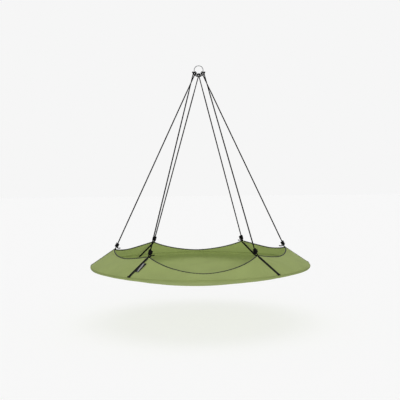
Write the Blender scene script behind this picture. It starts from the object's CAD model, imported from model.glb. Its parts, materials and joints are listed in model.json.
"""A circular hanging hammock: a steel ring, three ropes, six straps, a scalloped wall and a round bed.

Lengths are in metres. +Z is up, +X is to the right and -Y is the front.
"""
import json
import math
from contextlib import contextmanager

import bmesh
import bpy
import numpy as np
from mathutils import Matrix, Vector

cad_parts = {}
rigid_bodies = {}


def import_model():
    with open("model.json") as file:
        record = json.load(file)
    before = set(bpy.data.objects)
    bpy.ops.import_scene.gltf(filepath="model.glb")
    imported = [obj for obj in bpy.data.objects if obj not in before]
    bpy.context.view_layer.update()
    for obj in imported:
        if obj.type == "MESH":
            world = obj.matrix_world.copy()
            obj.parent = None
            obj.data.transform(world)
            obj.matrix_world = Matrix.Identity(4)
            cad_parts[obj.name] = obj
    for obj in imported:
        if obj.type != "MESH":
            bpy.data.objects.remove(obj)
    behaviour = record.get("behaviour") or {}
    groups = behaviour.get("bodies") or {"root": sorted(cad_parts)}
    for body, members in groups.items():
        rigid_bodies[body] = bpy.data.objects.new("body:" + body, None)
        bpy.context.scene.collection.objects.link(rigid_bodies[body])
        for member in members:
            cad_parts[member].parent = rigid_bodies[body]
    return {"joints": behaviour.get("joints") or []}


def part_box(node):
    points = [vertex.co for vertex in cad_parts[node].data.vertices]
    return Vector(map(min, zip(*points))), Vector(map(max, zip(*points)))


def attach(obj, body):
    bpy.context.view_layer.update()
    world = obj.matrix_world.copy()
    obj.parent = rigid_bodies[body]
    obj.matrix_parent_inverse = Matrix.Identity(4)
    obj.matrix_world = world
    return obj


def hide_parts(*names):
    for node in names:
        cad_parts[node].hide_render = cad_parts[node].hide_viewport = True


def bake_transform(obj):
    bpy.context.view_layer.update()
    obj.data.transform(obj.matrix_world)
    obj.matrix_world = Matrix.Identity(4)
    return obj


bl_info = {
    "name": "Circular hammock",
    "version": (1, 0, 0),
    "blender": (4, 5, 0),
    "location": "View3D > Sidebar > Hammock",
    "description": "Builds the visible pieces of a circular hanging hammock on its packed frame",
    "category": "Object",
}

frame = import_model()
JOINTS = {joint["name"]: joint for joint in frame["joints"]}
RING_LOW, RING_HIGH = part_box("hanging_ring")
POLE_LOW, POLE_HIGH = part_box("pole_section_1")
RING_CENTRE = np.array(JOINTS["sway"]["pos_m"], float)
SWING_PLACE = np.array(JOINTS["swing"]["pos_m"], float)
HOOP_CENTRE = np.array((0.0, 0.0, (POLE_LOW.z + POLE_HIGH.z) / 2))
UP = np.array((0.0, 0.0, 1.0))
FULL_TURN = 2 * math.pi

# The six corners of the wall: the angle at the top edge and at the hoop, counted from the right
EDGE_CORNER_ANGLE = 55.0
HOOP_CORNER_ANGLE = 52.4
CORNERS = {
    "right": (0.0, 0.0),
    "back_right": (EDGE_CORNER_ANGLE, HOOP_CORNER_ANGLE),
    "back_left": (180.0 - EDGE_CORNER_ANGLE, 180.0 - HOOP_CORNER_ANGLE),
    "left": (180.0, 180.0),
    "front_left": (180.0 + EDGE_CORNER_ANGLE, 180.0 + HOOP_CORNER_ANGLE),
    "front_right": (360.0 - EDGE_CORNER_ANGLE, 360.0 - HOOP_CORNER_ANGLE),
}
SPANS = {
    "right_back": ("right", "back_right"),
    "back": ("back_right", "back_left"),
    "left_back": ("back_left", "left"),
    "left_front": ("left", "front_left"),
    "front": ("front_left", "front_right"),
    "right_front": ("front_right", "right"),
}
LONG_SPANS = ("front", "back")
SCALLOP_POWER = 1.7

# Ropes: the angle of each hitch on the ring, its two legs, and how far to the side each leg starts
HITCH_ANGLES = {"left": -142.0, "middle": -90.0, "right": -38.0}
HITCH_LEGS = {
    "left": ("front_left", "left"),
    "middle": ("back_left", "back_right"),
    "right": ("right", "front_right"),
}
LEG_TOP_SIDE = {"left": 0.0435, "front_left": 0.0532, "back_left": 0.0048}
LEG_SHARES = (0.0, 0.01, 0.03, 0.3, 0.65, 0.97, 0.99)

# The gap between pieces that touch
TOUCH_GAP = 0.0003

# Where a rope swells because nothing squeezes it, as distances from its nearer end, and by what share
LEG_LOOSE_FROM = (0.47, 0.51)
LEG_LOOSE_TO = (1.84, 1.90)
LEG_SWELL = 0.20

# The height on the ring under which the ropes' dye has rubbed off on the steel
HITCHES_TOP = -0.048

# The wrapped coil of each knot
COIL_HALF_TURNS = 7
COIL_STEPS = 5
COIL_SWEEP = 150.0
COIL_CLEARANCE = 0.0022
COIL_TURN_GAP = 0.0008
COIL_FOOT = 0.020

# The ring's weld: its middle, half its spread and how far it stands out
WELD_ANGLE = math.radians(148.0)
WELD_HALF_SPREAD = math.radians(2.6)
WELD_RISE = 0.00028

# Where wall and bed end round the hoop, how far the cloth stands out over a strap, and the wall's hem
WALL_LAP_END = math.radians(2.0)
BED_LAP_END = math.radians(-2.0)
STRAP_LUMP = 0.0041
HEM_DEPTH = 0.0155
HEM_EXTRA = 0.0003

# The tape over the seam: its two edges, its faces' distances from the hoop's middle line, and its sewing
TAPE_ANGLES = (-62.0, 14.0)
TAPE_OUTSIDE = 0.0144
TAPE_INSIDE = 0.0134
TAPE_STITCH_ANGLES = (9.0, -57.0)

# The straps' lower ends, and the boxes with a cross that are sewn under their upper ends
PATCH_START = math.radians(16.0)
PATCH_LENGTH = 0.0135
PATCH_HALF_WIDTH = 0.0148
PATCH_THICKNESS = 0.0012
BOX_FROM_TOP = 0.014
BOX_LENGTH = 0.024
BOX_HALF_WIDTH = 0.0092

# The label: its border, where its grey face ends across it, and the share of the wall that it leans along
LABEL_BORDER = 0.0055
LABEL_FACE_END = 0.0034
LABEL_WALL_SHARE = 1 / 11

# Stitches: their spacing, length and thread, and how far along, how wide and how high each ring of one is
STITCH_PITCH = 0.0060
STITCH_LENGTH = 0.0042
THREAD_RADIUS = 0.00042
STITCH_SIDES = 6
STITCH_RINGS = ((-0.5, 0.45, -0.9), (-0.3, 1.0, 0.15), (0.3, 1.0, 0.15), (0.5, 0.45, -0.9))

# How finely the pieces are cut
CLOTH_STEP = 0.0045
BED_COLUMNS = 660
TUNNEL_COLUMNS = 720
TUNNEL_SIDES = 28
ROPE_STEP = 0.0015
ROPE_SIDES = 24
CORD_STEP = 0.0018
CORD_SIDES = 18

# The floor: the share of light that it gives back, and the light that falls on it in the open
FLOOR_TONE = 0.38
FLOOR_LIGHT = 0.917

# The camera that was fitted to the photograph: its place, and its angles in radians
CAMERA_PLACE = (-0.2241, -5.9988, -0.8715)
CAMERA_YAW = 0.0376
CAMERA_PITCH = 0.0404
CAMERA_ROLL = 0.0091


# Settings that the panel shows

def metres(name, text, value):
    return bpy.props.FloatProperty(name=name, description=text, default=value, unit="LENGTH")


def number(name, text, value):
    return bpy.props.FloatProperty(name=name, description=text, default=value)


def tint(name, text, value):
    return bpy.props.FloatVectorProperty(
        name=name, description=text, default=value, subtype="COLOR", min=0.0, max=1.0)


class HammockSizes(bpy.types.PropertyGroup):
    """The sizes that the visible pieces are built to."""

    ring_radius: metres("Ring radius", "From the ring's middle to the middle of its wire", 0.037)
    ring_wire: metres("Ring wire", "Thickness of the ring's wire", RING_HIGH.y - RING_LOW.y)
    rope_diameter: metres("Rope", "Diameter of the braided rope", 0.0085)
    hoop_radius: metres("Hoop radius", "From the hammock's middle to the middle of its poles", 0.900)
    pole_diameter: metres("Pole", "Outside diameter of the pole sections", 0.019)
    pole_wall: metres("Pole wall", "Wall thickness of the pole sections", 0.0015)
    pole_sections: bpy.props.IntProperty(
        name="Pole sections", description="How many sections make the hoop", default=8)
    ferrule_length: metres("Ferrule", "Length of the plug between two sections", 0.090)
    first_joint: metres("First pole joint", "Along the hoop from its right side", 0.035)
    cloth: metres("Cloth", "Thickness of the canvas", 0.0012)
    sleeve_radius: metres("Sleeve radius", "Outside radius of the tunnel round the poles", 0.0112)
    lap_radius: metres("Lap radius", "Middle of the cloth that is lapped round the tunnel", 0.0123)
    bed_sag: metres("Bed sag", "How far the bed's middle hangs under its rim", 0.125)
    corner_radius: metres("Corner radius", "From the middle to the wall's top corners", 0.722)
    corner_rise: metres("Corner rise", "Height of the wall's top corners over the hoop", 0.136)
    long_span_radius: metres("Long scallop radius", "From the middle to the front edge's low point", 0.814)
    long_span_rise: metres("Long scallop rise", "Height of the front edge's low point", 0.034)
    short_span_radius: metres("Short scallop radius", "From the middle to a side edge's low point", 0.712)
    short_span_rise: metres("Short scallop rise", "Height of a side edge's low point", 0.098)
    edge_cord: metres("Edge cord", "Diameter of the cord on the wall's top edge", 0.010)
    strap_width: metres("Strap width", "Width of the webbing", 0.025)
    strap_thickness: metres("Strap thickness", "Thickness of the webbing", 0.002)
    strap_eye_width: metres("Strap eye width", "Width of the webbing where the rope passes", 0.012)
    strap_eye_rise: metres("Strap eye rise", "Height of the strap's eye over the wall's edge", 0.010)
    strap_taper: metres("Strap taper", "Length over which the webbing is gathered", 0.030)
    label_length: metres("Label length", "Length of the label along its strap", 0.100)
    label_width: metres("Label width", "Width of the label", 0.030)
    label_thickness: metres("Label thickness", "Thickness of the label", 0.0012)
    label_from_top: metres("Label place", "From the wall's top corner to the label's upper end", 0.070)


class HammockColours(bpy.types.PropertyGroup):
    """The colours of the hammock's finishes, as linear values."""

    canvas: tint("Canvas", "Green cloth of the walls and the tunnel", (0.275, 0.331, 0.117))
    bed: tint("Bed", "Green cloth of the bed", (0.273, 0.329, 0.117))
    seam: tint("Seam band", "Green band over the seam round the hoop", (0.266, 0.321, 0.113))
    thread: tint("Thread", "Sewing thread in the green cloth", (0.200, 0.245, 0.086))
    rope: tint("Rope", "Black braided rope", (0.0030, 0.0030, 0.0033))
    webbing: tint("Webbing", "Black straps", (0.0035, 0.0035, 0.0035))
    label: tint("Label", "Grey face of the bare label", (0.270, 0.270, 0.262))
    label_border: tint("Label border", "Dark border of the bare label", (0.004, 0.004, 0.004))
    steel: tint("Steel", "Polished steel of the ring", (0.24, 0.243, 0.247))
    aluminium: tint("Aluminium", "Pole sections and their ferrules", (0.70, 0.71, 0.72))


class HammockStage(bpy.types.PropertyGroup):
    """The studio round the hammock."""

    floor_height: metres("Floor height", "Height of the floor", -2.13)
    backdrop: number("Backdrop", "Brightness of the floor and the backdrop", 0.9216)
    ambient: number("Ambient light", "Strength of the even light from all round", 0.32)
    bounce: number("Floor bounce", "Light that the pale floor sends back up", 0.40)
    overhead: number("Overhead light", "Strength of the wide lamp overhead", 0.36)
    soft_overhead: number("Even overhead light", "Strength of the shadowless fill overhead", 1.47)
    front: number("Front light", "Strength of the shadowless fill at the front", 1.25)
    low: number("Low light", "Strength of the shadowless fill from below", 2.2)
    lamp_spread: number("Lamp spread", "Width of every lamp, in degrees", 60.0)
    focal_length: number("Focal length", "Of the camera's lens, in millimetres", 64.53)


GROUPS = {
    "hammock_sizes": HammockSizes,
    "hammock_colours": HammockColours,
    "hammock_stage": HammockStage,
}


def sizes():
    return bpy.context.scene.hammock_sizes


def colours():
    return bpy.context.scene.hammock_colours


def stage_values():
    return bpy.context.scene.hammock_stage


# Finishes

def feed(tree, inputs, sockets):
    """Joins shader values to sockets, by name or number, and sets the other sockets to plain numbers."""
    for name, value in sockets.items():
        if isinstance(value, Value):
            tree.links.new(value.socket, inputs[name])
        else:
            inputs[name].default_value = value


def add_node(tree, kind, sockets, **settings):
    made = tree.nodes.new(kind)
    for name, value in settings.items():
        setattr(made, name, value)
    feed(tree, made.inputs, sockets)
    return made


class Value:
    """What a node gives out; reckoning with it adds the nodes that work out the result."""

    def __init__(self, tree, socket):
        self.tree = tree
        self.socket = socket

    def reckon(self, operation, other=0.0):
        made = add_node(self.tree, "ShaderNodeMath", {0: self, 1: other}, operation=operation)
        return Value(self.tree, made.outputs[0])

    def __add__(self, other):
        return self.reckon("ADD", other)

    def __sub__(self, other):
        return self.reckon("SUBTRACT", other)

    def __mul__(self, other):
        return self.reckon("MULTIPLY", other)

    def or_larger(self, other):
        return self.reckon("MAXIMUM", other)

    def wave(self, period):
        return (self * (FULL_TURN / period)).reckon("SINE")


class Finish:
    """A material in the making."""

    def __init__(self, name):
        self.made = bpy.data.materials.new(name)
        self.made.use_nodes = True
        self.tree = self.made.node_tree
        self.inputs = self.tree.nodes["Principled BSDF"].inputs
        self.places = self.tree.nodes.new("ShaderNodeTexCoord").outputs

    def node_value(self, kind, sockets, output=0, **settings):
        """What a new node gives out at one of its outputs."""
        made = add_node(self.tree, kind, sockets, **settings)
        return Value(self.tree, made.outputs[output])

    def axis(self, places, letter):
        place = Value(self.tree, self.places[places])
        return self.node_value("ShaderNodeSeparateXYZ", {"Vector": place}, letter)

    def noise(self, places, scale, detail=3.0, stretch=(1.0, 1.0, 1.0)):
        place = Value(self.tree, self.places[places])
        mapped = self.node_value("ShaderNodeMapping", {"Vector": place, "Scale": stretch})
        return self.node_value("ShaderNodeTexNoise", {
            "Vector": mapped, "Scale": scale, "Detail": detail}, "Fac")

    def paint(self, value, colour, darkest, lightest, low=0.3, high=0.7):
        """Runs the base colour between two shades of a colour, as a value goes from low to high."""
        ramp = add_node(self.tree, "ShaderNodeValToRGB", {"Fac": value})
        for element, position, factor in zip(ramp.color_ramp.elements, (low, high), (darkest, lightest)):
            element.position = position
            element.color = (*shade(colour, factor), 1.0)
        feed(self.tree, self.inputs, {"Base Color": Value(self.tree, ramp.outputs["Color"])})

    def surface(self, height, strength, distance, sockets):
        """Sets a bump and the shader's other sockets, and gives the finished material."""
        bump = {"Strength": strength, "Distance": distance, "Height": height}
        feed(self.tree, self.inputs, {"Normal": self.node_value("ShaderNodeBump", bump), **sockets})
        return self.made

    def rub_dark_below(self, height, bleed=0.002, left=0.1):
        """Darkens the base colour under a height, where the ropes' dye has rubbed off on it."""
        base = Value(self.tree, self.inputs["Base Color"].links[0].from_socket)
        clear = self.node_value("ShaderNodeMapRange", {
            "Value": self.axis("Object", "Z"), "From Min": height - bleed, "From Max": height + bleed,
            "To Min": left})
        scaled = self.node_value("ShaderNodeVectorMath", {"Vector": base, "Scale": clear}, operation="SCALE")
        feed(self.tree, self.inputs, {"Base Color": scaled})


def shade(colour, factor):
    return tuple(min(1.0, channel * factor) for channel in colour)


def canvas_finish(name, colour, thread_pitch=0.0011):
    """Plain-woven cotton canvas: warp and weft bumps, slubs along both, and uneven dye."""
    cloth = Finish(name)
    weave = cloth.axis("UV", "X").wave(thread_pitch) * cloth.axis("UV", "Y").wave(thread_pitch)
    slub = cloth.noise("UV", 60.0, 2.0, (1.0, 24.0, 1.0)) + cloth.noise("UV", 60.0, 2.0, (24.0, 1.0, 1.0))
    dye = cloth.noise("Object", 5.5, 5.0)
    cloth.paint(dye * 0.62 + slub * 0.19 + weave * 0.05, colour, 0.90, 1.10, 0.28, 0.72)
    return cloth.surface(weave * 0.5 + slub, 0.35, 0.0003, {
        "Roughness": slub * 0.08 + 0.80, "Specular IOR Level": 0.12, "Sheen Weight": 0.04,
        "Sheen Roughness": 0.5})


def yarn_finish(name, colour, lay, pitch=0.0012):
    """Twisted or braided yarn: fine strands that run slantwise round the cord."""
    yarn = Finish(name)
    along = yarn.axis("UV", "Y")
    slant = yarn.axis("UV", "X") * lay
    strands = (along + slant).wave(pitch).or_larger((along - slant).wave(pitch))
    wear = yarn.noise("Object", 90.0, 4.0)
    yarn.paint(wear * 0.8 + strands * 0.12, colour, 0.65, 1.7, 0.25, 0.75)
    return yarn.surface(strands, 0.4, 0.0002, {
        "Roughness": wear * 0.30 + 0.55, "Specular IOR Level": 0.05})


def webbing_finish(name, colour):
    """Flat woven webbing: ribs across it, crossed by its warp yarns."""
    webbing = Finish(name)
    ribs = webbing.axis("UV", "Y").wave(0.0016)
    yarns = (webbing.axis("UV", "X") + ribs * 0.0002).wave(0.0013)
    weave = ribs * 0.6 + yarns * 0.4
    wear = webbing.noise("Object", 70.0, 4.0)
    webbing.paint(wear * 0.85 + weave * 0.1, colour, 0.7, 1.6, 0.25, 0.75)
    return webbing.surface(weave, 0.45, 0.0003, {
        "Roughness": wear * 0.30 + 0.50, "Specular IOR Level": 0.05})


def metal_finish(name, colour, roughness, grain, rubbed_below=None):
    """Drawn metal: fine scratches along one direction, and uneven polish."""
    metal = Finish(name)
    scratches = metal.noise("Object", grain, 3.0, (1.0, 6.0, 1.0))
    polish = metal.noise("Object", 45.0, 4.0)
    metal.paint(polish, colour, 0.93, 1.05)
    if rubbed_below is not None:
        metal.rub_dark_below(rubbed_below)
    uneven = scratches * 0.12 + (roughness - 0.04) + polish * 0.08
    return metal.surface(scratches, 0.08, 0.0001, {"Roughness": uneven, "Metallic": 1.0})


def label_finish(name, colour):
    """Tightly woven damask of a bare label."""
    damask = Finish(name)
    threads = damask.noise("Object", 900.0, 2.0, (1.0, 1.0, 3.0))
    damask.paint(threads * 0.4 + damask.noise("Object", 60.0, 3.0) * 0.6, colour, 0.8, 1.25)
    return damask.surface(threads, 0.3, 0.0001, {"Roughness": 0.6, "Specular IOR Level": 0.1})


# Lines and meshes

def smooth_step(value, low, high):
    share = np.clip((np.asarray(value, float) - low) / (high - low), 0.0, 1.0)
    return share * share * (3.0 - 2.0 * share)


def directions(angle):
    """Flat directions at angles from the first axis."""
    return np.stack([np.cos(angle), np.sin(angle)], axis=-1)


def unit(vectors):
    return vectors / np.linalg.norm(vectors, axis=-1, keepdims=True)


def run_along(line):
    """The distance along a line at each of its points."""
    return np.r_[0.0, np.cumsum(np.linalg.norm(np.diff(line, axis=0), axis=1))]


def read_line(wanted, run, line):
    """The places at the wanted distances along a line."""
    return np.stack([np.interp(wanted, run, line[:, axis]) for axis in range(3)], axis=1)


def around_hoop(turn, out, rise):
    """Points by their angles round the hammock, distances from its middle and heights over the hoop."""
    return HOOP_CENTRE + np.stack(np.broadcast_arrays(np.cos(turn) * out, np.sin(turn) * out, rise), axis=-1)


def uv_grid(rows, columns):
    """A grid of UV places, with the rows' values first."""
    return np.stack(np.meshgrid(rows, columns, indexing="ij"), axis=2)


def make_mesh(name, points, faces, finish, corner_uvs, sharp=None):
    """A mesh object at the origin from points and faces in the frame's own place."""
    mesh = bpy.data.meshes.new(name)
    mesh.from_pydata([tuple(point) for point in points], [], faces)
    layer = mesh.uv_layers.new(name="UVMap")
    layer.data.foreach_set("uv", np.asarray(corner_uvs, np.float32).ravel())
    mesh.validate()
    mesh.shade_smooth()
    if sharp:
        mesh.set_sharp_from_angle(angle=math.radians(sharp))
    mesh.materials.append(finish)
    obj = bpy.data.objects.new(name, mesh)
    bpy.context.collection.objects.link(obj)
    return obj


def grid_quads(stations, count, wrap_stations, wrap_count):
    """Quads of a grid of points, and the entries of the UV grid that their corners read."""
    rows = stations if wrap_stations else stations - 1
    columns = count if wrap_count else count - 1
    row = np.repeat(np.arange(rows), columns)
    col = np.tile(np.arange(columns), rows)
    beside = (col + 1) % count
    ahead = (row + 1) % stations
    quads = np.stack([row * count + col, row * count + beside, ahead * count + beside,
                      ahead * count + col], axis=1)
    reads = np.stack([row, row, row + 1, row + 1], axis=1), np.stack([col, col + 1, col + 1, col], axis=1)
    return quads, reads


def swept(name, rings, uvs, finish, closed=False, caps=None, sharp=None):
    """Closed surface through rings of points; uvs has one more entry each way than what closes there."""
    stations, count = rings.shape[:2]
    quads, reads = grid_quads(stations, count, closed, True)
    last = (stations - 1) * count
    ends = []
    if caps == "strip":
        for index in range(count // 2 - 1):
            face = [index, index + 1, count - 2 - index, count - 1 - index]
            ends += [face[::-1], [last + corner for corner in face]]
    elif caps == "round":
        ends = [list(range(count))[::-1], list(range(last, last + count))]
    end_uvs = np.zeros((sum(len(face) for face in ends), 2))
    corner_uvs = np.vstack([uvs[reads].reshape(-1, 2), end_uvs])
    obj = make_mesh(name, rings.reshape(-1, 3), quads.tolist() + ends, finish, corner_uvs, sharp)
    turn_outwards(obj)
    return obj


@contextmanager
def open_mesh(mesh):
    """Opens a mesh for bmesh's operations, and writes it back."""
    build = bmesh.new()
    build.from_mesh(mesh)
    yield build
    build.to_mesh(mesh)
    build.free()


def turn_outwards(obj):
    """Turns a closed mesh the right way out if its volume comes out negative."""
    with open_mesh(obj.data) as build:
        if build.calc_volume(signed=True) < 0.0:
            bmesh.ops.reverse_faces(build, faces=build.faces)


def smooth_line(controls, step):
    """Evenly close points of a smooth line through the controls."""
    points = np.asarray(controls, float)
    chord = run_along(points)
    slopes = np.gradient(points, chord, axis=0)
    runs = np.linspace(0.0, chord[-1], max(2, int(round(chord[-1] / step))) + 1)
    index = np.clip(np.searchsorted(chord, runs, side="right") - 1, 0, len(chord) - 2)
    width = chord[index + 1] - chord[index]
    share = ((runs - chord[index]) / width)[:, None]
    width = width[:, None]
    return ((2 * share ** 3 - 3 * share ** 2 + 1) * points[index]
            + (share ** 3 - 2 * share ** 2 + share) * width * slopes[index]
            + (-2 * share ** 3 + 3 * share ** 2) * points[index + 1]
            + (share ** 3 - share ** 2) * width * slopes[index + 1])


def carried_frames(line):
    """Two directions square to a line at each of its points, carried along without twisting."""
    heading = unit(np.gradient(line, axis=0))
    carried = [unit(np.cross(heading[0], (0.31, 0.12, 0.94)))]
    for ahead in heading[1:]:
        carried.append(unit(carried[-1] - ahead * float(carried[-1] @ ahead)))
    carried = np.array(carried)
    return carried, np.cross(heading, carried)


def cord_mesh(name, line, radius, sides, surface, finish):
    """A cord along a line; surface gives shares of the radius from the angle, the run and the run left."""
    run = run_along(line)
    first, second = carried_frames(line)
    turn = FULL_TURN * np.arange(sides) / sides
    reach = surface(turn[None, :], run[:, None], (run[-1] - run)[:, None]) * radius
    rings = (line[:, None, :] + first[:, None, :] * (reach * np.cos(turn))[:, :, None]
             + second[:, None, :] * (reach * np.sin(turn))[:, :, None])
    around = np.arange(sides + 1) / sides * FULL_TURN * radius
    return swept(name, rings, uv_grid(run, around)[..., ::-1], finish, caps="round")


def rounded_end(near, reach=0.004):
    """Share of the radius near a cord's end, as on a half ball of that reach."""
    share = np.clip(near / reach, 0.0, 1.0)
    return np.sqrt(np.clip(1.0 - (1.0 - share) ** 2, 0.03, 1.0))


def braided(turn, run, run_left):
    """Crossing strands of a braided rope, squeezed where it is tied, with sealed ends."""
    twist = FULL_TURN / 0.034 * run
    strands = (np.abs(np.cos(3 * (turn + twist))) + np.abs(np.cos(3 * (turn - twist)))) / 2
    near = np.minimum(run, run_left)
    sealed = smooth_step(near, 0.006, 0.009)
    loose = smooth_step(near, *LEG_LOOSE_FROM) * (1.0 - smooth_step(near, *LEG_LOOSE_TO))
    lobes = (0.93 + 0.07 * strands) * (1.0 + LEG_SWELL * loose)
    return (lobes * sealed + (1.0 - sealed)) * rounded_end(near)


def twisted(turn, run, run_left):
    """Three strands laid round each other, with sealed ends."""
    strands = np.abs(np.cos(1.5 * (turn - FULL_TURN / 0.030 * run)))
    near = np.minimum(run, run_left)
    sealed = smooth_step(near, 0.005, 0.008)
    lobes = 0.86 + 0.14 * np.sqrt(strands)
    return (lobes * sealed + 0.97 * (1.0 - sealed)) * rounded_end(near)


# Shapes of the wall and the bed

class WallLine:
    """Radial sections of a wall, one for each entry: straight from its edge down to the lap."""

    def __init__(self, span, share):
        size = sizes()
        share = np.asarray(share, float)
        (edge_start, hoop_start), (edge_end, hoop_end) = (CORNERS[name] for name in SPANS[span])
        if hoop_end < hoop_start:
            hoop_end += 360.0
            edge_end += 360.0
        if span in LONG_SPANS:
            radius, rise = size.long_span_radius, size.long_span_rise
        else:
            radius, rise = size.short_span_radius, size.short_span_rise
        bend = np.abs(2 * share - 1) ** SCALLOP_POWER
        self.set_section(hoop_start + (hoop_end - hoop_start) * share,
                         edge_start + (edge_end - edge_start) * share,
                         radius + (size.corner_radius - radius) * bend,
                         rise + (size.corner_rise - rise) * bend)

    def set_section(self, hoop_angle, edge_angle, radius, rise):
        """Works out the sections from the angles at the hoop and the edge and from the edge's place."""
        size = sizes()
        turn = np.radians(hoop_angle)
        lead = np.radians(np.asarray(edge_angle) - hoop_angle)
        self.out = np.stack([np.cos(turn), np.sin(turn), 0 * turn], axis=-1)
        self.side = np.stack([-np.sin(turn), np.cos(turn), 0 * turn], axis=-1)
        self.edge = np.stack([radius * np.cos(lead) - size.hoop_radius, rise + 0 * lead], axis=-1)
        self.skew = radius * np.sin(lead)
        self.normal_angle = (np.arctan2(self.edge[..., 1], self.edge[..., 0])
                             - np.arccos(size.lap_radius / np.linalg.norm(self.edge, axis=-1)))
        self.normal = directions(self.normal_angle)
        self.up = np.stack([-self.normal[..., 1], self.normal[..., 0]], axis=-1)
        self.foot = self.normal * size.lap_radius
        self.length = np.linalg.norm(self.edge - self.foot, axis=-1)

    def off_wall(self):
        """The direction square to the wall, away from the bed."""
        return self.out * self.normal[0] + UP * self.normal[1]

    def lay(self, flat, across):
        """The places of points by their flat ones in the sections and their distances across them."""
        return (HOOP_CENTRE + self.out * (sizes().hoop_radius + flat[..., 0])[..., None]
                + self.side * np.asarray(across)[..., None] + UP * flat[..., 1][..., None])

    def place(self, flat, sideways=0.0):
        """The places of points in the sections, moved sideways with the wall's skew up to its edge."""
        share = np.clip((flat * self.up).sum(axis=-1) / self.length, 0.0, 1.0)
        return self.lay(flat, self.skew * share + sideways)


class CornerLine(WallLine):
    """The section at one of the six corners."""

    def __init__(self, name):
        edge_angle, hoop_angle = CORNERS[name]
        self.set_section(hoop_angle, edge_angle, sizes().corner_radius, sizes().corner_rise)


def span_run(span):
    """The length of a span along the hoop."""
    start, end = SPANS[span]
    return math.radians((CORNERS[end][1] - CORNERS[start][1]) % 360.0) * sizes().hoop_radius


def wall_folds(span, share, drop, length):
    """How far the wall's cloth stands off its straight line: pulls at the corners and small puckers."""
    run = span_run(span)
    from_start = share * run
    near = np.minimum(from_start, (1 - share) * run)
    clear = smooth_step(near, 0.018, 0.060)
    if span == "front":
        clear = clear * smooth_step(from_start, 0.055, 0.095)
    reach = np.hypot(near, drop)
    pulls = 0.0016 * np.sin(8.0 * np.arctan2(drop, near) + 0.6) * smooth_step(reach, 0.03, 0.09)
    pulls = pulls * (1 - smooth_step(reach, 0.10, 0.30))
    left = np.maximum(length - drop, 0.0)
    wobble = 0.9 * np.sin(from_start * 23.0) + 0.6 * np.sin(from_start * 57.0 + 1.3)
    edge_puckers = 0.0005 * np.sin(FULL_TURN * from_start / 0.031 + wobble) * np.exp(-drop / 0.016)
    foot_puckers = 0.0007 * np.sin(FULL_TURN * from_start / 0.043 + 1.7 * wobble)
    foot_puckers = foot_puckers * np.exp(-left / 0.022) * smooth_step(left, 0.0, 0.006)
    belly = np.sin(np.pi * np.clip(drop / length, 0.0, 1.0))
    slack = 0.0015 * belly * (np.sin(from_start * 13.0 + 0.4) + 0.7 * np.sin(from_start * 29.0 + 2.1))
    fade = smooth_step(left, 0.0, 0.012)
    return clear * fade * (pulls + edge_puckers + slack) + clear * foot_puckers


def wall_points(span, share, drop, off=0.0, sideways=0.0):
    """Points of the wall, a drop down from its edge and on round the lap, off its middle surface."""
    line = WallLine(span, share)
    straight = np.minimum(drop, line.length)
    over = np.maximum(drop - line.length, 0.0)
    stand = off + wall_folds(span, share, drop, line.length)
    lap = sizes().lap_radius
    on_wall = line.foot + line.up * (line.length - straight)[..., None] + line.normal * stand[..., None]
    on_lap = directions(line.normal_angle - over / lap) * (lap + stand)[..., None]
    flat = np.where((over > 0)[..., None], on_lap, on_wall)
    share_up = np.clip((line.length - drop) / line.length, 0.0, 1.0)
    return line.lay(flat, line.skew * share_up + sideways)


def from_strap(turn):
    """The distance along the hoop from the nearest strap's middle."""
    corners = np.radians([hoop_angle for _, hoop_angle in CORNERS.values()])
    apart = np.abs((np.asarray(turn)[..., None] - corners + np.pi) % FULL_TURN - np.pi)
    return apart.min(axis=-1) * sizes().hoop_radius


def strap_lump(turn):
    """How far the cloth round the hoop stands out where it passes over a strap."""
    return STRAP_LUMP * (1 - smooth_step(from_strap(turn), 0.0145, 0.034))


def bed_points(turn, reach, off=0.0):
    """Points of the bed: reach runs 0 to 1 from its middle to the hoop and on to 2 round the lap."""
    size = sizes()
    turn, reach = np.broadcast_arrays(np.asarray(turn, float), np.asarray(reach, float))
    start = math.atan(2 * size.bed_sag / size.hoop_radius) - math.pi / 2
    rim_radius = size.hoop_radius + size.lap_radius * math.cos(start)
    rim_height = size.lap_radius * math.sin(start)
    share = np.minimum(reach, 1.0)
    lump = strap_lump(turn)
    inward = (1 - share) * rim_radius
    lean = np.arctan(2 * size.bed_sag * share / rim_radius)
    folds = 0.0011 * (np.sin(41 * turn + 1.1) + 0.8 * np.sin(67 * turn + 0.3) + 0.7 * np.sin(23 * turn))
    folds = folds * smooth_step(inward, 0.004, 0.06) * (1 - smooth_step(inward, 0.07, 0.34))
    calm = smooth_step(share, 0.05, 0.30) * smooth_step(inward, 0.0, 0.12)
    slack = 0.0030 * calm * (np.sin(3 * turn + 0.5) * np.sin(7.0 * share + 0.8)
                             + 0.6 * np.sin(5 * turn + 2.0) * np.sin(11.0 * share))
    stand = off - lump * (1 - smooth_step(inward, 0.010, 0.055)) + folds + slack
    angle = start + (BED_LAP_END - start) * np.clip(reach - 1.0, 0.0, 1.0)
    radius = size.lap_radius + lump - off
    on_lap = reach > 1.0
    out = np.where(on_lap, size.hoop_radius + radius * np.cos(angle),
                   rim_radius * share - np.sin(lean) * stand)
    rise = np.where(on_lap, radius * np.sin(angle),
                    rim_height - size.bed_sag * (1 - share ** 2) + np.cos(lean) * stand)
    return around_hoop(turn, out, rise)


def place_piece(obj, body, slot, *nodes):
    """Lets a piece ride its body, name its finish and stand for its CAD nodes."""
    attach(obj, body)
    if nodes:
        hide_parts(*nodes)


def stitch_row(curve, normals, pitch=STITCH_PITCH):
    """Middles, headings and outward normals of the stitches of a row along a curve on a surface."""
    run = run_along(curve)
    count = int(run[-1] / pitch)
    at = (np.arange(count) + 0.5) * run[-1] / count
    heading = read_line(at + 0.001, run, curve) - read_line(at - 0.001, run, curve)
    return read_line(at, run, curve), heading, read_line(at, run, normals)


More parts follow.
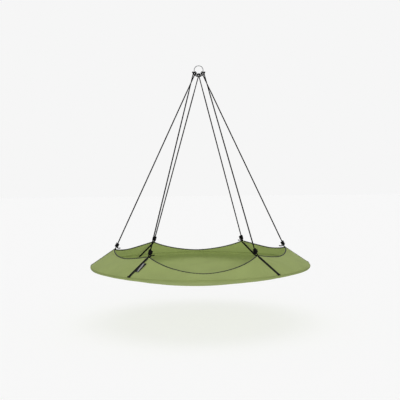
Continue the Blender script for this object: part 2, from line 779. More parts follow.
def stitches(name, rows, finish, length=STITCH_LENGTH, radius=THREAD_RADIUS):
    """Short rounded lengths of thread that dip into the cloth at both ends."""
    spots, heading, outward = (np.concatenate([row[part] for row in rows]) for part in range(3))
    heading = unit(heading)
    outward = unit(outward - heading * (outward * heading).sum(axis=1)[:, None])
    across = np.cross(heading, outward)
    points = []
    for along, width, lift in STITCH_RINGS:
        middle = spots + heading * along * length + outward * lift * radius
        for turn in FULL_TURN * np.arange(STITCH_SIDES) / STITCH_SIDES:
            points.append(middle + (across * math.cos(turn) + outward * math.sin(turn)) * width * radius)
    points = np.stack(points, axis=1)
    each = points.shape[1]
    quads, _ = grid_quads(len(STITCH_RINGS), STITCH_SIDES, False, True)
    shape = quads[:, [0, 3, 2, 1]].tolist()
    shape += [list(range(STITCH_SIDES)), list(range(each - 1, each - 1 - STITCH_SIDES, -1))]
    faces = [[index * each + corner for corner in face] for index in range(len(spots)) for face in shape]
    side = FULL_TURN * radius / STITCH_SIDES
    uvs = [(corner % STITCH_SIDES * side, corner // STITCH_SIDES * length / 3)
           for face in shape for corner in face]
    obj = make_mesh(name, points.reshape(-1, 3), faces, finish, np.tile(np.array(uvs), (len(spots), 1)))
    turn_outwards(obj)
    return obj


# Modelling by hand

def only(obj):
    bpy.ops.object.select_all(action="DESELECT")
    obj.select_set(True)
    bpy.context.view_layer.objects.active = obj


def added(add, **settings):
    """The settled object that an adding operator makes."""
    bpy.ops.object.select_all(action="DESELECT")
    add(**settings)
    obj = bpy.context.active_object
    settle(obj)
    return obj


def settle(obj):
    """Leaves an object at the origin, with its place in its mesh."""
    only(obj)
    bpy.ops.object.transform_apply(location=True, rotation=True, scale=True)


@contextmanager
def edit_mode():
    bpy.ops.object.mode_set(mode="EDIT")
    yield
    bpy.ops.object.mode_set(mode="OBJECT")


def choose(obj, wanted):
    """In edit mode, selects just the faces that the test picks."""
    bpy.ops.mesh.select_mode(type="FACE")
    bpy.ops.mesh.select_all(action="DESELECT")
    build = bmesh.from_edit_mesh(obj.data)
    for face in build.faces:
        face.select_set(bool(wanted(face)))
    bmesh.update_edit_mesh(obj.data)


def apply_modifier(obj, kind, **settings):
    only(obj)
    made = obj.modifiers.new(kind.lower(), kind)
    for name, value in settings.items():
        setattr(made, name, value)
    bpy.ops.object.modifier_apply(modifier=made.name)


def bevel(obj, width, segments, angle=50.0):
    apply_modifier(obj, "BEVEL", width=width, segments=segments, limit_method="ANGLE",
                   angle_limit=math.radians(angle))


def dress(obj, name, finish):
    obj.name = name
    obj.data.name = name
    obj.data.materials.clear()
    obj.data.materials.append(finish)
    only(obj)
    bpy.ops.object.shade_smooth_by_angle(angle=math.radians(40.0))


def make_consistent(obj):
    """Turns all faces of a mesh the same way, and outwards."""
    only(obj)
    with edit_mode():
        bpy.ops.mesh.select_all(action="SELECT")
        bpy.ops.mesh.normals_make_consistent(inside=False)
    turn_outwards(obj)


class HAMMOCK_OT_ring(bpy.types.Operator):
    """Builds the welded steel ring"""

    bl_idname = "hammock.ring"
    bl_label = "Steel ring"

    def execute(self, context):
        size = sizes()
        ring = added(bpy.ops.mesh.primitive_torus_add, major_segments=160, minor_segments=32,
                     major_radius=size.ring_radius, minor_radius=size.ring_wire / 2,
                     location=RING_CENTRE, rotation=(math.pi / 2, 0.0, 0.0))

        def on_weld(face):
            spot = np.array(face.calc_center_median()) - RING_CENTRE
            return abs(math.atan2(spot[2], spot[0]) - WELD_ANGLE) < WELD_HALF_SPREAD

        with edit_mode():
            choose(ring, on_weld)
            bpy.ops.transform.shrink_fatten(value=WELD_RISE)
            bpy.ops.mesh.select_more()
            bpy.ops.mesh.vertices_smooth(factor=0.5, repeat=3)
        dress(ring, "steel_ring", metal_finish("polished_steel", colours().steel, 0.22, 260.0, HITCHES_TOP))
        place_piece(ring, "ring", "ring_steel", "hanging_ring")
        return {"FINISHED"}


def hoop_spin(vertices, radius, start, sweep, steps):
    """An open tube round part of the hoop, spun from a circle that stands across it."""
    tube = added(bpy.ops.mesh.primitive_circle_add, vertices=vertices, radius=radius,
                 location=around_hoop(start, sizes().hoop_radius, 0.0), rotation=(math.pi / 2, 0.0, start))
    with edit_mode():
        bpy.ops.mesh.select_all(action="SELECT")
        bpy.ops.mesh.spin(steps=steps, angle=sweep, center=HOOP_CENTRE, axis=(0.0, 0.0, 1.0))
        bpy.ops.mesh.select_all(action="SELECT")
        bpy.ops.mesh.remove_doubles(threshold=0.00001)
    return tube


def face_away_from_hoop(tube):
    """Turns a tube's faces away from the hoop's middle line."""
    with open_mesh(tube.data) as build:
        total = 0.0
        for face in build.faces:
            spot = np.array(face.calc_center_median()) - HOOP_CENTRE
            nearest = np.array((*unit(spot[:2]), 0.0)) * sizes().hoop_radius
            total += float(np.array(face.normal) @ (spot - nearest))
        if total < 0.0:
            bmesh.ops.reverse_faces(build, faces=build.faces)


class HAMMOCK_OT_poles(bpy.types.Operator):
    """Builds the hoop's pole sections and the ferrules that join them"""

    bl_idname = "hammock.poles"
    bl_label = "Hoop poles"

    def execute(self, context):
        size = sizes()
        pole_finish = metal_finish("pole_aluminium", colours().aluminium, 0.34, 180.0)
        ferrule_finish = metal_finish("ferrule_aluminium", shade(colours().aluminium, 0.9), 0.28, 320.0)
        step = FULL_TURN / size.pole_sections
        butt = 0.00025 / size.hoop_radius
        half = size.ferrule_length / 2 / size.hoop_radius
        for index in range(size.pole_sections):
            start = size.first_joint / size.hoop_radius + index * step
            pole = hoop_spin(28, size.pole_diameter / 2, start + butt, step - 2 * butt, 30)
            face_away_from_hoop(pole)
            apply_modifier(pole, "SOLIDIFY", thickness=size.pole_wall, offset=-1.0)
            bevel(pole, 0.0003, 2)
            dress(pole, f"pole_arc_{index + 1}", pole_finish)
            place_piece(pole, "hammock", "pole_aluminium", f"pole_section_{index + 1}")
            bore = size.pole_diameter / 2 - size.pole_wall
            plug = hoop_spin(24, bore - TOUCH_GAP, start - half, 2 * half, 8)
            with edit_mode():
                bpy.ops.mesh.select_all(action="SELECT")
                bpy.ops.mesh.fill_holes(sides=0)
            make_consistent(plug)
            bevel(plug, 0.0009, 3)
            dress(plug, f"ferrule_plug_{index + 1}", ferrule_finish)
            place_piece(plug, "hammock", "ferrule_aluminium", f"pole_ferrule_{index + 1}")
        return {"FINISHED"}


class HAMMOCK_OT_tunnel(bpy.types.Operator):
    """Builds the cloth tunnel round the poles"""

    bl_idname = "hammock.tunnel"
    bl_label = "Pole tunnel"

    def execute(self, context):
        size = sizes()
        turns = FULL_TURN * np.arange(TUNNEL_COLUMNS + 1) / TUNNEL_COLUMNS
        around = FULL_TURN * np.arange(TUNNEL_SIDES + 1) / TUNNEL_SIDES
        run = turns[:-1] * size.hoop_radius
        gathers = 0.00022 * (np.sin(FULL_TURN * run / 0.0471) + 0.6 * np.sin(FULL_TURN * run / 0.0257 + 1.0))
        lifted = gathers[:, None] * smooth_step(-np.cos(around[:-1]), 0.0, 0.8)
        rings = []
        for radius in (size.sleeve_radius, size.sleeve_radius - size.cloth):
            flat = directions(around[:-1]) * (radius + lifted)[..., None]
            rings.append(around_hoop(turns[:-1, None], size.hoop_radius + flat[..., 0], flat[..., 1]))
        quads, reads = grid_quads(TUNNEL_COLUMNS, TUNNEL_SIDES, True, True)
        corner_uvs = uv_grid(turns * size.hoop_radius, around * size.sleeve_radius)[reads]
        faces = quads.tolist() + (quads[:, ::-1] + TUNNEL_COLUMNS * TUNNEL_SIDES).tolist()
        both = np.concatenate([corner_uvs, corner_uvs[:, ::-1]])
        tunnel = make_mesh("pole_tunnel", np.concatenate(rings).reshape(-1, 3), faces,
                           canvas_finish("tunnel_canvas", colours().canvas), both)
        turn_outwards(tunnel)
        place_piece(tunnel, "hammock", "green_sleeve_fabric", "hoop_sleeve")
        return {"FINISHED"}


def bed_columns():
    """Angles of the bed's columns, closer together where the cloth passes over a strap."""
    fine = np.linspace(0.0, FULL_TURN, 40001)
    weight = 1.0 + 3.0 * (1 - smooth_step(from_strap(fine), 0.034, 0.060))
    total = np.r_[0.0, np.cumsum((weight[1:] + weight[:-1]) / 2)]
    return np.interp(np.arange(BED_COLUMNS) / BED_COLUMNS * total[-1], total, fine)


class HAMMOCK_OT_bed(bpy.types.Operator):
    """Builds the round bed, lapped under the hoop and over the straps"""

    bl_idname = "hammock.bed"
    bl_label = "Bed cloth"

    def execute(self, context):
        size = sizes()
        turns = bed_columns()
        count = len(turns)
        reach = np.r_[np.linspace(0.03, 0.90, 34), np.linspace(0.91, 1.0, 12)[1:],
                      1.0 + np.linspace(0.0, 1.0, 13)[1:]]
        half = size.cloth / 2
        upper, lower = (bed_points(turns[:, None], reach[None, :], off) for off in (half, -half))
        rings = np.concatenate([upper, lower[:, ::-1]], axis=1)
        along = np.where(reach <= 1.0, reach * size.hoop_radius,
                         size.hoop_radius + (reach - 1.0) * size.lap_radius * 1.3)
        plan = directions(np.r_[turns, turns[0] + FULL_TURN])[:, None] * along[:, None]
        uvs = np.concatenate([plan, plan[:, ::-1]], axis=1)
        width = rings.shape[1]
        quads, reads = grid_quads(count, width, True, False)
        middles = [bed_points(np.zeros(1), np.zeros(1), off) for off in (half, -half)]
        points = np.concatenate([rings.reshape(-1, 3), *middles])
        faces = quads.tolist()
        fans = []
        for middle, column, way in ((len(points) - 2, 0, -1), (len(points) - 1, width - 1, 1)):
            for index in range(count):
                pair = (index, index + 1)[::way]
                faces.append([middle, *(at % count * width + column for at in pair)])
                fans += [(0.0, 0.0), *(uvs[at, column] for at in pair)]
        bed = make_mesh("bed_cloth", points, faces, canvas_finish("bed_canvas", colours().bed),
                        np.concatenate([uvs[reads].reshape(-1, 2), np.array(fans)]), sharp=50)
        make_consistent(bed)
        place_piece(bed, "hammock", "green_bed_fabric", "bed_sheet")
        thread = yarn_finish("green_thread", colours().thread, 0.5, 0.0006)
        ring_turns = np.linspace(0.0, FULL_TURN, 2001)
        rows = []
        for reach_at, face in ((0.962, 1), (0.955, 1), (0.962, -1)):
            curve = bed_points(ring_turns, reach_at, face * half)
            rows.append(stitch_row(curve, np.tile(UP * face, (len(curve), 1))))
        rim_stitches = stitches("bed_stitches", rows, thread)
        place_piece(rim_stitches, "hammock", "green_bed_fabric")
        return {"FINISHED"}


def wall_drops(line):
    """Drops down a wall: fixed ones at the hem, then shares of its height, then shares of its lap."""
    hem = np.array([0.0, 0.003, 0.0090, 0.0148, 0.0162])
    length = line.length[:, None]
    down = hem[-1] + (length - hem[-1]) * np.linspace(0.0, 1.0, 27)[1:]
    lap_run = (line.normal_angle - WALL_LAP_END)[:, None] * sizes().lap_radius
    lap = length + lap_run * np.linspace(0.0, 1.0, 10)[1:]
    return np.concatenate([np.tile(hem, (len(length), 1)), down, lap], axis=1)


class HAMMOCK_OT_walls(bpy.types.Operator):
    """Builds the six panels of the scalloped wall with their hems"""

    bl_idname = "hammock.walls"
    bl_label = "Wall panels"

    def execute(self, context):
        finish = canvas_finish("wall_canvas", colours().canvas)
        # The cords keep the frame's own black; a frame without it gets a yarn in its place
        cord_finish = bpy.data.materials.get("black_edge_cord") or yarn_finish(
            "black_edge_cord", colours().rope, 0.9)
        for span in SPANS:
            run = span_run(span)
            panel = wall_panel(span, run, finish)
            place_piece(panel, "hammock", "green_wall_fabric", f"wall_{span}")
            sewing = stitches(f"wall_stitches_{span}", wall_stitch_rows(span, run),
                              bpy.data.materials["green_thread"])
            place_piece(sewing, "hammock", "green_wall_fabric")
            piping = edge_cord(span, cord_finish)
        return {"FINISHED"}


def wall_panel(span, run, finish):
    """A panel of cloth with two faces and a thicker hem, closed at its edges and ends."""
    share = np.linspace(0.0, 1.0, int(run / CLOTH_STEP) + 1)
    drop = wall_drops(WallLine(span, share))
    shares = np.broadcast_to(share[:, None], drop.shape)
    inset = 0.00015 * ((shares == 0.0) * 1.0 - (shares == 1.0) * 1.0)
    half = sizes().cloth / 2
    off = np.where(drop < HEM_DEPTH, half + HEM_EXTRA, half)
    outer, inner = (wall_points(span, shares, drop, side * off, inset) for side in (1, -1))
    uvs = np.stack([shares * run, drop], axis=2)
    return swept(f"panel_{span}", np.concatenate([outer, inner[:, ::-1]], axis=1),
                 np.concatenate([uvs, uvs[:, ::-1], uvs[:, :1]], axis=1), finish, caps="strip", sharp=50)


def wall_stitch_rows(span, run):
    """Two rows of stitches along the hem, outside and inside, and one along the foot."""
    fine = np.linspace(0.0, 1.0, 900)
    fine = fine[np.minimum(fine, 1 - fine) * run > 0.0165]
    half = sizes().cloth / 2
    rows = []
    for at, face, thick in ((np.full_like(fine, 0.0125), 1, HEM_EXTRA),
                            (np.full_like(fine, 0.0125), -1, HEM_EXTRA),
                            (WallLine(span, fine).length - 0.006, 1, 0.0)):
        curve, lifted = (wall_points(span, fine, at, face * (half + thick + off)) for off in (0.0, 0.001))
        rows.append(stitch_row(curve, lifted - curve))
    return rows


def edge_cord(span, finish):
    """The laid black cord along the top edge of a panel."""
    size = sizes()
    line = WallLine(span, np.linspace(0.0, 1.0, 400))
    curve = line.place(line.edge + line.up * (size.edge_cord / 2 + TOUCH_GAP))
    run = run_along(curve)
    inset = size.strap_width / 2 + size.rope_diameter / 4
    curve = read_line(np.linspace(inset, run[-1] - inset, int(run[-1] / CORD_STEP)), run, curve)
    piping = cord_mesh(f"piping_{span}", curve, size.edge_cord / 2, CORD_SIDES, twisted, finish)
    place_piece(piping, "hammock", "black_edge_cord", f"edge_cord_{span}")
    return piping


class HAMMOCK_OT_seam(bpy.types.Operator):
    """Builds the sewn tape that binds the meeting of wall and bed round the hoop"""

    bl_idname = "hammock.seam"
    bl_label = "Seam band"

    def execute(self, context):
        size = sizes()
        turns = bed_columns()
        outer = np.radians(np.linspace(*TAPE_ANGLES, 25))
        edges = smooth_step(np.abs(np.linspace(-1.0, 1.0, 25)), 0.9, 1.0)
        angle = np.r_[outer, outer[::-1]]
        reach = np.r_[TAPE_OUTSIDE - 0.0004 * edges, np.full(25, TAPE_INSIDE)]
        flat = directions(angle) * (reach + strap_lump(turns)[:, None])[..., None]
        rings = around_hoop(turns[:, None], size.hoop_radius + flat[..., 0], flat[..., 1])
        uvs = uv_grid(np.r_[turns, turns[0] + FULL_TURN] * size.hoop_radius, np.r_[angle, angle[0]] * 0.014)
        band = swept("seam_band", rings, uvs, canvas_finish("seam_band_cloth", colours().seam, 0.0008),
                     closed=True, sharp=50)
        place_piece(band, "hammock", "green_bed_fabric")
        fine = np.linspace(0.0, FULL_TURN, 3001)
        out = np.stack([np.cos(fine), np.sin(fine), 0 * fine], axis=1)
        rows = []
        for slant in np.radians(TAPE_STITCH_ANGLES):
            off = out * math.cos(slant) + UP * math.sin(slant)
            lifted = off * (TAPE_OUTSIDE + 0.00002 + strap_lump(fine))[:, None]
            rows.append(stitch_row(HOOP_CENTRE + out * size.hoop_radius + lifted, off))
        sewing = stitches("seam_stitches", rows, bpy.data.materials["green_thread"])
        place_piece(sewing, "hammock", "green_bed_fabric")
        return {"FINISHED"}


# Straps

def strap_radii():
    """How far a strap's middle lies from the hoop's middle line, and from the middle of its eye."""
    size = sizes()
    wrap = size.lap_radius + 0.0008 + TOUCH_GAP + size.strap_thickness / 2
    eye = size.rope_diameter / 2 + 2 * TOUCH_GAP + size.strap_thickness / 2
    return wrap, eye


def strap_eye_flat(section):
    wrap, eye = strap_radii()
    return section.normal * (wrap - eye) + section.up * (section.length + sizes().strap_eye_rise)


def strap_path(section):
    """Middle line of a strap in its section, with its outward angles: up, round the eye, down, round."""
    wrap, eye_radius = strap_radii()
    eye = strap_eye_flat(section)
    toward = unit(eye)
    inner_normal = 2 * float(section.normal @ toward) * toward - section.normal
    start = float(section.normal_angle)
    turn = math.atan2(inner_normal[1], inner_normal[0]) % FULL_TURN
    foot = inner_normal * wrap
    head = eye + inner_normal * eye_radius
    straight = np.linspace(0.0, 1.0, 46)[:-1, None]
    round_eye = start + (turn - start) * np.linspace(0.0, 1.0, 17)
    round_foot = turn + (start + FULL_TURN - turn) * np.linspace(0.0, 1.0, 30)[1:-1]
    spots = np.vstack([section.normal * wrap + section.up * float(eye @ section.up) * straight,
                       eye + directions(round_eye) * eye_radius, foot + (head - foot) * straight[::-1],
                       directions(round_foot) * wrap])
    angles = np.r_[np.full(len(straight), start), round_eye, np.full(len(straight), turn), round_foot]
    return spots, angles


def strap_half_width(section, spots):
    size = sizes()
    full_below = section.length + size.strap_eye_rise - size.strap_taper
    gathered = full_below + size.strap_taper - 2 * strap_radii()[1]
    gather = smooth_step(spots @ section.up, full_below, gathered)
    return (size.strap_width + (size.strap_eye_width - size.strap_width) * gather) / 2


def webbing_mesh(name, section, spots, outward, half_width, thickness, finish, closed):
    """Flat ribbed webbing along a path in a section, of its half width at each spot."""
    across = np.sin(np.linspace(-np.pi / 2, np.pi / 2, 19))
    edge = np.sqrt(np.clip(1 - ((np.abs(across) - 0.92) / 0.08).clip(0.0, 1.0) ** 2, 0.06, 1.0))
    thick = edge * (1.0 - 0.09 * (0.5 - 0.5 * np.cos(across * np.pi * 5)))
    across = np.r_[across, across[::-1]]
    thick = np.r_[thick, -thick[::-1]] * thickness / 2
    flat = spots[:, None] + outward[:, None] * thick[:, None]
    rings = section.place(flat, across * half_width[:, None])
    run = run_along(np.vstack([spots, spots[:1]]) if closed else spots)
    uvs = uv_grid(run, np.r_[across, across[0]] * half_width.max())[..., ::-1]
    return swept(name, rings, uvs, finish, closed=closed, caps=None if closed else "strip", sharp=60)


class HAMMOCK_OT_straps(bpy.types.Operator):
    """Builds the six webbing straps with their sewn patches"""

    bl_idname = "hammock.straps"
    bl_label = "Straps"

    def execute(self, context):
        finish = webbing_finish("black_webbing", colours().webbing)
        thread = yarn_finish("black_thread", shade(colours().webbing, 2.2), 0.5, 0.0006)
        for name in CORNERS:
            section = CornerLine(name)
            spots, angles = strap_path(section)
            webbing = webbing_mesh(f"webbing_{name}", section, spots, directions(angles),
                                   strap_half_width(section, spots), sizes().strap_thickness, finish, True)
            place_piece(webbing, "hammock", "black_webbing", f"strap_{name}")
            place_piece(strap_patch(name, section, finish), "hammock", "black_webbing")
            place_piece(strap_sewing(name, section, thread), "hammock", "black_webbing")
        return {"FINISHED"}


def strap_patch(name, section, finish):
    """The wider turned-in end of the webbing, sewn down above the seam band."""
    reach = strap_radii()[0] + sizes().strap_thickness / 2 + TOUCH_GAP + PATCH_THICKNESS / 2
    top = float(section.normal_angle)
    angles = np.linspace(PATCH_START, min(PATCH_START + PATCH_LENGTH / reach, top), 14)
    rises = np.linspace(0.0, max(0.0, PATCH_LENGTH - (top - PATCH_START) * reach), 4)[1:, None]
    outward = np.vstack([directions(angles), np.tile(section.normal, (len(rises), 1))])
    spots = outward * reach + section.up * np.vstack([np.zeros((len(angles), 1)), rises])
    return webbing_mesh(f"strap_end_{name}", section, spots, outward, np.full(len(spots), PATCH_HALF_WIDTH),
                        PATCH_THICKNESS, finish, False)


def strap_sewing(name, section, thread):
    """A box with a cross, sewn through strap and wall under the edge."""
    high = section.length - BOX_FROM_TOP
    lower_left, lower_right, upper_right, upper_left = (
        np.array((rise, side * BOX_HALF_WIDTH)) for rise, side in
        ((high - BOX_LENGTH, -1), (high - BOX_LENGTH, 1), (high, 1), (high, -1)))
    lift = strap_radii()[0] + sizes().strap_thickness / 2 - 0.0001
    rows = []
    for start, end in ((upper_left, upper_right), (upper_right, lower_right), (lower_right, lower_left),
                       (lower_left, upper_left), (upper_left, lower_right), (upper_right, lower_left)):
        spots = start + (end - start) * np.linspace(0.03, 0.97, 20)[:, None]
        curve = section.place(section.normal * lift + section.up * spots[:, :1], spots[:, 1])
        rows.append(stitch_row(curve, np.tile(section.off_wall(), (len(curve), 1)), 0.0036))
    return stitches(f"strap_stitches_{name}", rows, thread, 0.0028, 0.0003)


# Ropes

def leg_top(name):
    """Where a rope leg crosses the swing axis."""
    side = LEG_TOP_SIDE[name.replace("right", "left")]
    return SWING_PLACE + np.array((side if "right" in name else -side, 0.0, 0.0))


def hitch_half():
    """Half of a lark's head beside the wire: along it, towards the back and towards the ring's middle."""
    size = sizes()
    eighth = size.rope_diameter / 8
    beside = size.ring_wire / 2 + size.rope_diameter / 2 + 2 * TOUCH_GAP
    slant = beside * math.sqrt(0.5)
    over = [(4.4, -beside, 0.0), (5.2, -slant, slant), (6.3, 0.0, beside), (8.0, slant, slant),
            (9.8, beside, 0.0)]
    bar = [(11.4, 6.8, -7.8), (12.6, 0.0, -13.4), (12.2, -8.4, -16.0), (7.8, -13.8, -16.4),
           (0.0, -15.2, -16.4)]
    return [(4.5 * eighth, -7.0 * eighth, -6.5 * eighth),
            *((along * eighth, back, inward) for along, back, inward in over),
            *((along * eighth, back * eighth, inward * eighth) for along, back, inward in bar)]


def on_ring(angle, along, back, inward):
    """A point beside the ring's wire, in the ring's own bent coordinates."""
    radius = sizes().ring_radius
    turn = math.radians(angle) + along / radius
    reach = radius - inward
    return RING_CENTRE + np.array((reach * math.cos(turn), back, reach * math.sin(turn)))


def knot_controls():
    """The knot's points: along the strap's eye, outward and up the rope, from above it to its tail."""
    size = sizes()
    eighth = size.rope_diameter / 8
    half = size.rope_diameter / 2 + TOUCH_GAP
    eye_half = size.strap_eye_width / 2
    pitch = size.rope_diameter + COIL_TURN_GAP
    radius = size.rope_diameter + COIL_CLEARANCE
    top = COIL_FOOT + pitch * (COIL_HALF_TURNS - 1 / COIL_STEPS) / 2
    spread = eye_half + size.rope_diameter / 2 + 4 * TOUCH_GAP
    down = [(-half, 0.0, top + 26 * eighth), (-half, 0.0, top), (-half, 0.0, COIL_FOOT - 3 * eighth)]
    bight = [(-spread + 2.2 * eighth, 0.0, 11 * eighth), (-spread, 0.0, 6.2 * eighth),
             (-spread + 1.0 * eighth, 0.0, 2.4 * eighth), (-eye_half - 0.4 * eighth, 0.0, 0.0)]
    mirrored = [(-x, y, z) for x, y, z in bight[::-1]]
    up = [(half, 0.0, COIL_FOOT - 3 * eighth), (half, 0.0, top - 14 * eighth), (half, 0.0, top - 6 * eighth)]
    over = [(half + 0.2 * eighth, 1.2 * eighth, top - 1.4 * eighth),
            (half, 4.6 * eighth, top + 1.5 * eighth), (1.5 * eighth, 8.0 * eighth, top + 1.4 * eighth)]
    coil = []
    for turn in range(COIL_HALF_TURNS):
        side = -1 if turn % 2 == 0 else 1
        for step in range(COIL_STEPS):
            angle = math.radians(COIL_SWEEP * (step / (COIL_STEPS - 1) - 0.5))
            coil.append((side * (half + radius * math.cos(angle)), side * radius * math.sin(angle),
                         top - pitch * (turn + step / COIL_STEPS) / 2))
    foot = coil[-1][2]
    tail = [(x * eighth, y * eighth, foot + z * eighth) for x, y, z in (
        (-1.5, -9.8, -1.2), (3.0, -12.2, -2.2), (6.5, -17.0, -1.6), (10.0, -23.0, 0.6), (13.0, -29.0, 4.6),
        (15.0, -34.0, 9.8))]
    return down + bight + mirrored + up + over + coil + tail


def leg_controls(name):
    """A rope leg's points, from the swing axis down to the end of its tail."""
    section = CornerLine(name)
    top = leg_top(name)
    eye = section.place(strap_eye_flat(section))
    up = unit(top - eye)
    outward = unit(np.cross(section.side, up))
    knot = [eye + section.side * x + outward * y + up * z for x, y, z in knot_controls()]
    return [top + (knot[0] - top) * share for share in LEG_SHARES] + knot


def rope_controls(name):
    """A whole rope's points, from the tail of one leg over the ring to the tail of the other."""
    half = hitch_half()
    left = [on_ring(HITCH_ANGLES[name], -x, y, z) for x, y, z in half]
    right = [on_ring(HITCH_ANGLES[name], x, y, z) for x, y, z in half[:-1]]
    first, second = (leg_controls(leg) for leg in HITCH_LEGS[name])
    return first[::-1] + left + right[::-1] + second


class HAMMOCK_OT_ropes(bpy.types.Operator):
    """Builds the three ropes, each one length from knot over the ring to knot"""

    bl_idname = "hammock.ropes"
    bl_label = "Ropes"

    def execute(self, context):
        radius = sizes().rope_diameter / 2
        finish = yarn_finish("black_rope", colours().rope, 0.7)
        for name, legs in HITCH_LEGS.items():
            line = smooth_line(rope_controls(name), ROPE_STEP)
            rope = cord_mesh(f"rope_{name}_pair", line, radius, ROPE_SIDES, braided, finish)
            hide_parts(f"ring_hitch_{name}", *(f"rope_{leg}" for leg in legs))
            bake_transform(rope)
        return {"FINISHED"}


class HAMMOCK_OT_label(bpy.types.Operator):
    """Builds the bare label beside the front left strap"""

    bl_idname = "hammock.label"
    bl_label = "Bare label"

    def execute(self, context):
        size = sizes()
        section = CornerLine("front_left")
        hinge = np.array(JOINTS["tag_flap"]["pos_m"], float)
        down = unit(np.array(JOINTS["tag_flap"]["axis"], float))
        off_wall = section.off_wall()
        lean = label_lean(section, off_wall)
        across = section.side * math.cos(lean) - off_wall * math.sin(lean)
        through = np.cross(across, down)
        if float(through @ off_wall) < 0.0:
            through = -through
        tag = added(bpy.ops.mesh.primitive_cube_add, size=1.0,
                    scale=(size.label_length, size.label_width, size.label_thickness))
        with edit_mode():
            choose(tag, lambda face: face.normal.z > 0.9)
            bpy.ops.mesh.inset(thickness=LABEL_BORDER)
            bpy.ops.mesh.inset(thickness=0.0003, depth=-0.00025)
            bpy.ops.mesh.select_all(action="SELECT")
            bpy.ops.mesh.subdivide(number_cuts=5)
        bevel(tag, 0.0003, 2, 60.0)
        middle = hinge + across * size.label_width / 2
        lie = Matrix((down, across, through)).transposed().to_4x4()
        tag.data.transform(Matrix.Translation(middle) @ lie)
        make_consistent(tag)
        dress(tag, "side_label", label_finish("label_border", colours().label_border))
        tag.data.materials.append(label_finish("label_cloth", colours().label))
        edge = LABEL_BORDER + 0.0001
        for face in tag.data.polygons:
            spot = np.array(face.center) - middle
            inside = (abs(float(spot @ down)) < size.label_length / 2 - edge
                      and -size.label_width / 2 + edge < float(spot @ across) < LABEL_FACE_END)
            if inside and float(np.array(face.normal) @ through) > 0.5:
                face.material_index = 1
        place_piece(tag, "tag", "black_label", "label_tag")
        return {"FINISHED"}


def label_lean(section, off_wall):
    """The angle by which the front wall falls away beside its left corner, under the label."""
    beyond = WallLine("front", np.array([LABEL_WALL_SHARE]))
    share = float((section.length - sizes().label_from_top - sizes().label_length) / section.length)
    there = beyond.place(beyond.foot + (beyond.edge - beyond.foot) * share)[0]
    here = section.place(section.foot + (section.edge - section.foot) * share)
    step = there - here
    return math.atan2(-float(step @ off_wall), float(step @ section.side))


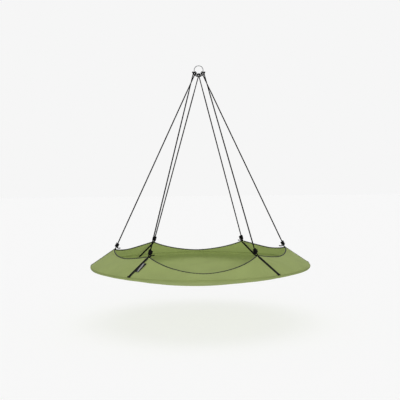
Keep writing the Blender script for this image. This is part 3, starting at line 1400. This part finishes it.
class HAMMOCK_OT_stage(bpy.types.Operator):
    """Builds the pale studio floor, its light and the camera"""

    bl_idname = "hammock.stage"
    bl_label = "Studio"

    def execute(self, context):
        context.scene.view_settings.view_transform = "Standard"
        values = stage_values()
        self.camera(values)
        self.world(values)
        self.lamps(values)
        self.floor(values)
        return {"FINISHED"}

    def camera(self, values):
        yaw, pitch, roll = CAMERA_YAW, CAMERA_PITCH, CAMERA_ROLL
        level = np.array((math.sin(yaw), math.cos(yaw), 0.0))
        ahead = level * math.cos(pitch) - UP * math.sin(pitch)
        up = level * math.sin(pitch) + UP * math.cos(pitch)
        right = np.array((math.cos(yaw), -math.sin(yaw), 0.0))
        rolled_right = math.cos(roll) * right - math.sin(roll) * up
        rolled_up = math.sin(roll) * right + math.cos(roll) * up
        bpy.ops.object.camera_add(location=CAMERA_PLACE)
        camera = bpy.context.active_object
        camera.name = "photograph_camera"
        camera.rotation_euler = Matrix((rolled_right, rolled_up, -ahead)).transposed().to_euler()
        camera.data.lens = values.focal_length
        camera.data.sensor_width = 36.0
        camera.data.clip_end = 200.0
        bpy.context.scene.camera = camera

    def world(self, values):
        world = bpy.data.worlds.new("studio")
        world.use_nodes = True
        bpy.context.scene.world = world
        background = world.node_tree.nodes["Background"].inputs
        strength = seen_or_lit(world.node_tree, values.backdrop, values.ambient)
        feed(world.node_tree, background, {"Strength": strength, "Color": (1.0, 1.0, 1.0, 1.0)})

    def lamps(self, values):
        for name, strength, tilt, casts in (
                ("overhead_lamp", values.overhead, 0.0, True),
                ("overhead_fill", values.soft_overhead, 0.0, False),
                ("front_fill", values.front, 88.0, False),
                ("low_fill", values.low, 150.0, False)):
            bpy.ops.object.light_add(type="SUN", location=(0.0, 0.0, 4.0),
                                     rotation=(math.radians(tilt), 0.0, 0.0))
            lamp = bpy.context.active_object
            lamp.name = name
            lamp.data.energy = strength
            lamp.data.angle = math.radians(values.lamp_spread)
            lamp.data.use_shadow = casts

    def floor(self, values):
        floor = added(bpy.ops.mesh.primitive_plane_add, size=60.0, location=UP * values.floor_height)
        floor.name = "studio_floor"
        pale = Finish("pale_floor")
        given_back = FLOOR_TONE * FLOOR_LIGHT
        glow = seen_or_lit(pale.tree, values.backdrop - given_back, values.bounce - given_back)
        feed(pale.tree, pale.inputs, {
            "Base Color": (FLOOR_TONE, FLOOR_TONE, FLOOR_TONE, 1.0), "Roughness": 1.0,
            "Specular IOR Level": 0.0, "Emission Color": (1.0, 1.0, 1.0, 1.0), "Emission Strength": glow})
        floor.data.materials.append(pale.made)


def seen_or_lit(tree, seen, lit):
    """One value for the rays that show the background itself, and another for those that light things."""
    path = tree.nodes.new("ShaderNodeLightPath")
    camera, glossy, through = (Value(tree, path.outputs[f"Is {kind} Ray"])
                               for kind in ("Camera", "Glossy", "Transmission"))
    directly = camera.or_larger(glossy).or_larger(through)
    mixed = add_node(tree, "ShaderNodeMix", {"Factor": directly, "A": lit, "B": seen}, data_type="FLOAT")
    return Value(tree, mixed.outputs["Result"])


class HAMMOCK_PT_pieces(bpy.types.Panel):
    """Lists what builds each group of the hammock's pieces"""

    bl_idname = "HAMMOCK_PT_pieces"
    bl_label = "Circular hammock"
    bl_space_type = "VIEW_3D"
    bl_region_type = "UI"
    bl_category = "Hammock"

    def draw(self, context):
        for operator in OPERATORS:
            self.layout.operator(operator.bl_idname)
        for name in GROUPS:
            group = getattr(context.scene, name)
            box = self.layout.box()
            for entry in group.bl_rna.properties:
                if entry.identifier not in ("rna_type", "name"):
                    box.prop(group, entry.identifier)


OPERATORS = (
    HAMMOCK_OT_stage,
    HAMMOCK_OT_ropes,
    HAMMOCK_OT_ring,
    HAMMOCK_OT_poles,
    HAMMOCK_OT_tunnel,
    HAMMOCK_OT_bed,
    HAMMOCK_OT_walls,
    HAMMOCK_OT_seam,
    HAMMOCK_OT_straps,
    HAMMOCK_OT_label,
)
CLASSES = (*GROUPS.values(), *OPERATORS, HAMMOCK_PT_pieces)


def register():
    for made in CLASSES:
        bpy.utils.register_class(made)
    for name, group in GROUPS.items():
        setattr(bpy.types.Scene, name, bpy.props.PointerProperty(type=group))


def unregister():
    for name in GROUPS:
        delattr(bpy.types.Scene, name)
    for made in reversed(CLASSES):
        bpy.utils.unregister_class(made)


def main():
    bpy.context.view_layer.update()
    register()
    for operator in OPERATORS:
        _, action = operator.bl_idname.split(".")
        getattr(bpy.ops.hammock, action)()


if __name__ == "__main__":
    main()
